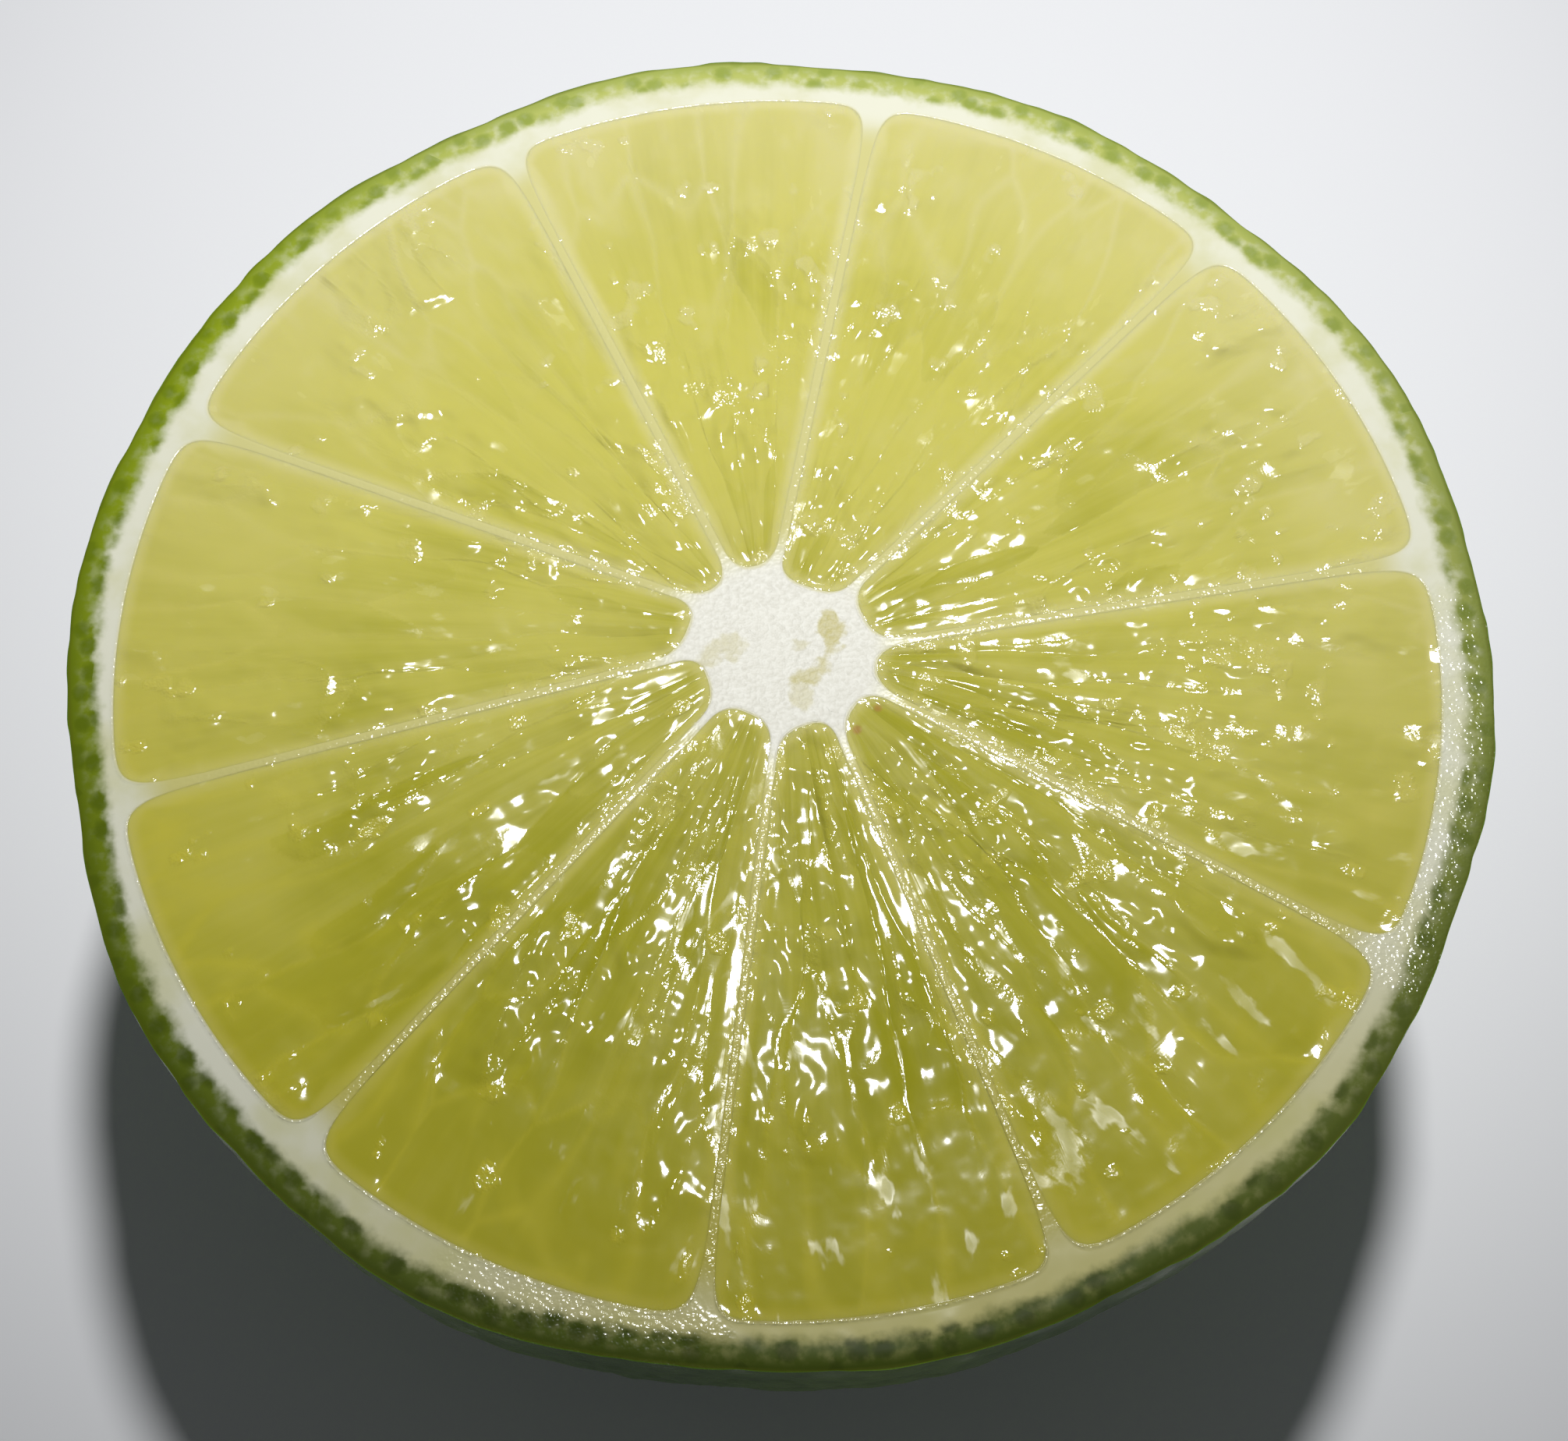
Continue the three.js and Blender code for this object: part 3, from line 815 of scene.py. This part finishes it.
def wet_beads(w, where, below, hems):
    """The normal of moist tissue: noise times the wetness of the hems and of each puddle, a disc with an
    uneven edge that may be weaker over the green."""
    wet = hems
    for x, y, size, on_green in PUDDLES:
        away = w.away_from(where, x, y) + w.speckle(where, 0.5, 1.0) * 5.0
        puddle = 1 - away.eased(size, size + 3.0)
        wet = wet + puddle * (below.eased(0.5, 1.2) * (1 - on_green) + on_green)
    return w.bump(w.speckle(where, 6.0, 1.0) * wet.at_most(1.4), 0.04 * MM)


print("puddles:", len(PUDDLES))

# %% [markdown]
# ## The pith's finish
#
# The core is dry and spongy, with a few pale tan stains. The membranes are thin: at their feet the pulp
# shows through as a yellow film, and their tops are cream. One material paints all of it, from attributes
# that say how far a place is white tissue and how far a membrane has risen.

# %% The pith's material
STAINS = (  # middle in mm, half width and half length in mm, turn in degrees, strength
    ((1.95, 1.05), (0.5, 0.95), 12, 0.95), ((1.25, -0.6), (0.55, 0.45), 30, 0.8),
    ((0.9, -1.5), (0.45, 0.6), 10, 0.5), ((0.9, 0.45), (0.4, 0.3), 0, 0.45),
    ((-2.05, 0.27), (0.9, 0.45), 15, 0.5),
)


def stained(w, where, colour, fine):
    """A colour with the stains laid over it. For each, the offset from its middle is turned back and divided
    by its half width and half length, and its length is made ragged by noise."""
    ragged = w.speckle(where, 1.7, 1.0)
    for (x, y), (wide, long), turn, strength in STAINS:
        away = w.node("VectorMath", {"operation": "SUBTRACT"}, {0: where, 1: (x, y, CUT / MM)})
        back = -np.radians(turn)
        away = w.node("VectorRotate", {"rotation_type": "Z_AXIS"}, {"Vector": away, "Angle": back})
        away = w.node("VectorMath", {"operation": "MULTIPLY"}, {0: away, 1: (1 / wide, 1 / long, 0.0)})
        away = w.node("VectorMath", {"operation": "LENGTH"}, {0: away}, out="Value")
        away = away + (fine - 0.5) * 0.7 + (ragged - 0.5) * 2.2
        inside = (1 - away.eased(0.55, 1.15)) * (fine * 0.8 + 0.6)
        colour = w.tint(inside * strength * 0.8, colour, srgb(197, 187, 104))
    return colour


def pith_paint(w):
    """Membranes from film to cream, white body and core, stains, and the cut peel at the rim. Film and cream
    hold painted light, brighter on the far side of the fruit. The hems of the membranes and the border of the
    white are the wettest."""
    where = w.place()
    below, body, rise = (w.attribute(name) for name in ("below", "body", "rise"))
    fine = w.speckle(where, 6.0, 2.0)
    # painted light: film and cream are brighter towards the far side; the same mask also thins the beads
    # there
    painted_light = w.axis(where, "Y").eased(-26.0, 8.0)
    film = w.tint(painted_light, srgb(200, 191, 80), srgb(220, 214, 146))
    cream = w.tint(painted_light, srgb(202, 195, 104), srgb(216, 211, 142))
    colour = w.tint(rise.eased(0.5, 1.0) * (w.speckle(where, 0.45, 2.0) * 0.8 + 0.2), film, cream)
    core = body * below.eased(10.0, 12.0)
    sponge = w.tint(fine.eased(0.2, 0.8), srgb(227, 225, 211), srgb(243, 242, 230))
    white = w.tint(core, white_tissue(w, where), sponge)
    colour = stained(w, where, w.tint(body * rise.eased(-0.4, 0.8), colour, white), fine)
    hems = (1 - body) * rise * (1.5 - painted_light) * (1 - below.eased(19.0, 21.0))
    hems = hems * (below.eased(2.0, 6.0) * 0.8 + 0.2)
    rim = body * rise.eased(0.1, 0.4) * (1 - rise.eased(0.5, 0.9)) * (1.2 - painted_light) * 1.5
    return {"Base Color": cut_peel(w, where, below, colour), "Roughness": core * 0.3 + 0.14,
            "Normal": wet_beads(w, where, below, hems + rim + core * 0.7)}


pith_material = finished_material("moist_pith", pith_paint, IOR=1.38)

pith = pith_piece(pith_material)
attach(pith, "root")
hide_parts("pith")

# %% [markdown]
# ## Rind
#
# The skin is smooth and waxy, with soft swells and a shallow pit over each oil gland. A square grid of pits
# turned about the axis would crowd at the stem end. So they are a cell pattern wrapped round the fruit:
# each row of cells has as many as fit round it, and they stay the same size all the way down.

# %% Pits and swells of the skin
PIT_PITCH, PIT_RADIUS = 1.15 * MM, 0.36 * MM
PIT_DEPTH = 0.08  # in mm, as the swells are


def skin_cells(angle, arc, radius, seed):
    """Cells wrapped round the fruit. arc is the way down the side, radius the distance from the axis, and
    row r has as many cells as fit into its circle. Gives the distance to the nearest point in metres and
    that cell's chance."""
    order = np.argsort(arc[:, 0])
    row = np.floor(arc / PIT_PITCH)
    best, own = np.full(np.shape(angle), 1.0), np.zeros(np.shape(angle))
    for a in (-1, 0, 1):
        middle = (row + a + 0.5) * PIT_PITCH
        around = np.interp(middle, arc[order, 0], radius[order, 0])
        count = np.maximum(np.round(2 * np.pi * around / PIT_PITCH), 1)
        lap = (angle / (2 * np.pi)) % 1 * count
        for b in (-1, 0, 1):
            cell = np.floor(lap) + b
            key = cell % count
            off_x = (cell + 0.5 + 0.7 * (chance(key, row + a, seed) - 0.5) - lap) / count * 2 * np.pi * radius
            off_y = middle + 0.7 * PIT_PITCH * (chance(key, row + a, seed + 1) - 0.5) - arc
            distance = np.hypot(off_x, off_y)
            closer = distance < best
            own = np.where(closer, chance(key, row + a, seed + 2), own)
            best = np.where(closer, distance, best)
    return best, own


def skin_swell(around, down):
    """Broad swells, weaker close to the cut, and fine ones, in mm: layered noises on a point that goes round
    a circle with the angle, so they meet after a turn, and moves on with the way down."""
    across, along = np.cos(around), np.sin(around)
    broad = 0.05 * layered_noise(6 * across + 9, 6 * along + down / (7 * MM), 41, 2)
    broad = broad * (0.4 + 0.6 * ease(0, 4, down / MM))
    return broad + 0.06 * layered_noise(20 * across, 20 * along + down / (1.2 * MM), 43, 2)


print("pits round the widest place:", round(2 * np.pi * RADIUS / PIT_PITCH))

# %% [markdown]
# The rind is a thin bowl. Its outside runs from the cut down to the small flat spot that the fruit rests
# on, round the scar of the stem. The cut edge starts level with the pith and falls away a little at the
# skin, and a wall behind it closes the shape.

# %% The rind's grids
ROUND, DOWN, EDGE_ROWS = 721, 111, 9
SKIN_EDGE = CUT - 0.1 * MM
SCAR = ((3.3, 0.0), (3.0, 0.22), (2.7, 0.55), (2.4, 0.75), (2.15, 0.62), (2.0, 0.4), (1.8, 0.3), (1.2, 0.36),
        (0.6, 0.42), (0.0, 0.5))  # radius and height in mm, inwards


def side_profile():
    """Radius and height of the outside, from the cut to the flat spot, and the way down to each place."""
    flat_turn = np.arcsin((CUT / POLE_DEPTH) ** (FULLNESS / 2))
    radius, height = side(RADIUS, POLE_DEPTH, np.linspace(0, 1, DOWN) * flat_turn)
    return radius, height, np.concatenate([[0], np.cumsum(np.hypot(np.diff(radius), np.diff(height)))])


def skin_grid(angle):
    """The outside: the profile turned about the axis and lifted along its normal by the swells, less a
    bell-shaped pit in each cell. Both fade out at the flat spot, and the pits also at the cut."""
    radius, height, arc = side_profile()
    around, down = np.meshgrid(angle, arc)
    radii = np.interp(down, arc, radius)
    near, own = skin_cells(around, down, radii, 51)
    fade = ease(0, 0.8, down / MM)
    pit = np.exp(-(near / PIT_RADIUS) ** 2)
    lift = skin_swell(around, down) - PIT_DEPTH * pit * (0.4 + own) * fade
    lift = lift * ease(0, 2.5, (arc[-1] - down) / MM) * MM
    out = -np.gradient(height, arc)[:, None], np.gradient(radius, arc)[:, None]
    plan = (radii * waviness(around) + lift * out[0]) * np.exp(1j * around)
    skin = spots(plan, height[:, None] + lift * out[1])
    skin[0, :, 2] = SKIN_EDGE
    return skin, {"pit": pit * fade, "skin": 1.0}


def scar_grid(angle):
    """The stem scar: its profile turned about the axis, with five soft lobes."""
    radius, height = (np.array(values)[:, None] * MM for values in zip(*SCAR))
    lobed = ease(0.2, 1.6, radius / MM) * (radius < 2.2 * MM)
    lobes = 1 + 0.05 * np.cos(5 * angle) * lobed
    scar = spots(radius * lobes * waviness(angle) * np.exp(1j * angle), height)
    return scar, {"skin": 1.0, "scar": 1 - ease(1.9, 2.5, radius / MM)}


def cut_edge_grid(angle, skin_edge):
    """The cut edge of the rind, from the pith's level out to the skin."""
    steps = np.linspace(0, 1, EDGE_ROWS)[:, None]
    plan = ((WALL_RADIUS + (RADIUS - WALL_RADIUS) * steps) * waviness(angle)) * np.exp(1j * angle)
    height, values = pith_surface(plan, 1.0, 0.0)
    edge = spots(plan, height + (SKIN_EDGE - height) * steps**6)
    edge[-1] = skin_edge
    return edge, values


def rind_piece(material):
    """The outside, the flat spot round the scar, the scar, the cut edge and the wall behind it."""
    angle = np.linspace(0, 2 * np.pi, ROUND)
    angle[-1] = 0
    skin, skin_values = skin_grid(angle)
    scar, scar_values = scar_grid(angle)
    edge, edge_values = cut_edge_grid(angle, skin[0])
    flat = np.stack([skin[-1], scar[0]])
    radius, height = side(WALL_RADIUS, RIND_POLE_DEPTH, WALL_TURNS)
    wall = spots(radius[:, None] * waviness(angle) * np.exp(1j * angle), height[:, None])
    wall[0] = edge[0]
    wall[-1] = (0, 0, height[-1])
    grids = [(skin, skin_values), (flat, {"skin": 1.0}), (scar, scar_values), (edge, edge_values),
             (wall[::-1], {})]
    return closed_piece("rind_skin", grids, material)


print(f"way down the side from the cut to the flat spot: {side_profile()[2][-1] / MM:.1f} mm")

# %% [markdown]
# ## Waxy skin
#
# The peel is a cloudy green, darker in the pits, with a soft gloss from its own wax. The cut edge shows the
# same flesh as the pith beside it, so the material mixes the colours of the cut with those of the skin, by
# an attribute that is 1 on the outside.

# %% The rind's material
def rind_paint(w):
    """The cut's colours with a dark line under the skin, the peel's clouds, pits and scar, and beads."""
    where = w.place()
    below, pit, skin, scar = (w.attribute(name) for name in ("below", "pit", "skin", "scar"))
    # the cut edge carries the same painted light and shade as the pith's cut
    cut_face = cut_peel(w, where, below, white_tissue(w, where))
    cut_face = w.tint((1 - below.eased(0.03, 0.16)) * 0.5, cut_face, srgb(91, 97, 18))
    clouds = w.speckle(where, 0.12, 3.0).eased(0.2, 0.8)
    peel = w.tint(clouds, srgb(66, 102, 14), srgb(112, 146, 32))
    peel = w.tint(pit * 0.5, peel, srgb(44, 78, 10))
    peel = w.tint(scar, peel, srgb(120, 96, 60))
    return {"Base Color": w.tint(skin.eased(0.6, 1.0), cut_face, peel), "Roughness": skin * 0.14 + 0.14,
            "Normal": wet_beads(w, where, below, skin * 0.3)}


rind_material = finished_material("waxy_rind", rind_paint, IOR=1.4)
rind = rind_piece(rind_material)
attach(rind, "root")
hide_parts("rind")

# %% [markdown]
# ## Floor
#
# The fruit lies on a plain pale board, which is only a stage. It reaches far past the view, so no edge
# shows, and the light it throws back reaches the underside.

# %% Floor
FLOOR_HALF = 1.5
corners = [(x * FLOOR_HALF, y * FLOOR_HALF, 0) for x, y in ((-1, -1), (1, -1), (1, 1), (-1, 1))]
floor_mesh = bpy.data.meshes.new("floor")
floor_mesh.from_pydata(corners, [], [(0, 1, 2, 3)])
floor_mesh.materials.append(finished_material(
    "pale_floor", lambda w: {}, Base_Color=srgb(250, 251, 254), Roughness=0.5))
floor = in_scene("floor", floor_mesh)

# %% [markdown]
# ## Light
#
# A small lamp stands high over the far side of the fruit and draws the wet glints, which a large soft light
# would blur. It is two lamps at one place: a narrow beam for the bright middle and a wide spill for the
# rest. A faint pale sky keeps the shadows from turning black.

# %% Lamp and sky
LAMP_PLACE = Vector((12 * MM, 55 * MM, CUT + 200 * MM))
LAMP_AIM = Vector((3 * MM, 39 * MM, CUT))
LAMP_RADIUS = 10 * MM
LAMPS = ("beam", 1.08, 20), ("spill", 0.66, 75)  # name, watts, half angle in degrees
SKY_COLOUR, SKY_STRENGTH = srgb(240, 242, 250), 0.07


def studio_lamp(name, watts, half_angle):
    """A round lamp whose light falls off smoothly to nothing at half_angle from where it aims."""
    lamp = bpy.data.lights.new(name, "SPOT")
    lamp.energy = watts
    lamp.shadow_soft_size = LAMP_RADIUS
    lamp.spot_size = 2 * np.radians(half_angle)
    lamp.spot_blend = 1.0
    lamp_object = in_scene(name, lamp)
    lamp_object.location = LAMP_PLACE
    lamp_object.rotation_euler = (LAMP_AIM - LAMP_PLACE).to_track_quat("-Z", "Y").to_euler()
    print(f"{name}: {watts} W within {half_angle} degrees, {LAMP_PLACE.z / MM:.0f} mm above the floor")


for name, watts, half_angle in LAMPS:
    studio_lamp(name, watts, half_angle)

world = bpy.data.worlds.new("sky")
world.use_nodes = True
world.node_tree.nodes["Background"].inputs["Color"].default_value = SKY_COLOUR
world.node_tree.nodes["Background"].inputs["Strength"].default_value = SKY_STRENGTH
bpy.context.scene.world = world
bpy.context.scene.view_settings.view_transform = "Standard"

# %% [markdown]
# ## Camera
#
# The camera looks steeply down from a hand's breadth, so the near rim looks a little larger than the far
# one. An angle, a distance and a target on the cut face place it, which are easier to adjust than three
# coordinates and three turns.

# %% Camera
ELEVATION = np.radians(67.4)
DISTANCE = 98 * MM
TARGET = Vector((0.225 * MM, -2.465 * MM, CUT))
FOCAL_LENGTH, PICTURE_WIDTH = 3620, 2011  # both in pixels
camera = bpy.data.cameras.new("camera")
camera.sensor_width = 36
camera.lens = camera.sensor_width * FOCAL_LENGTH / PICTURE_WIDTH
camera.clip_start = 5 * MM
camera_object = in_scene("camera", camera)
back = Vector((0, -np.cos(ELEVATION), np.sin(ELEVATION)))
camera_object.location = TARGET + back * DISTANCE
camera_object.rotation_euler = (-back).to_track_quat("-Z", "Y").to_euler()
bpy.context.scene.camera = camera_object
print(f"lens {camera.lens:.1f} mm on a sensor of 36 mm, {DISTANCE / MM:.0f} mm from the target")

# %% [markdown]
# ## Sizes
#
# Fine relief mustn't change the part's size.
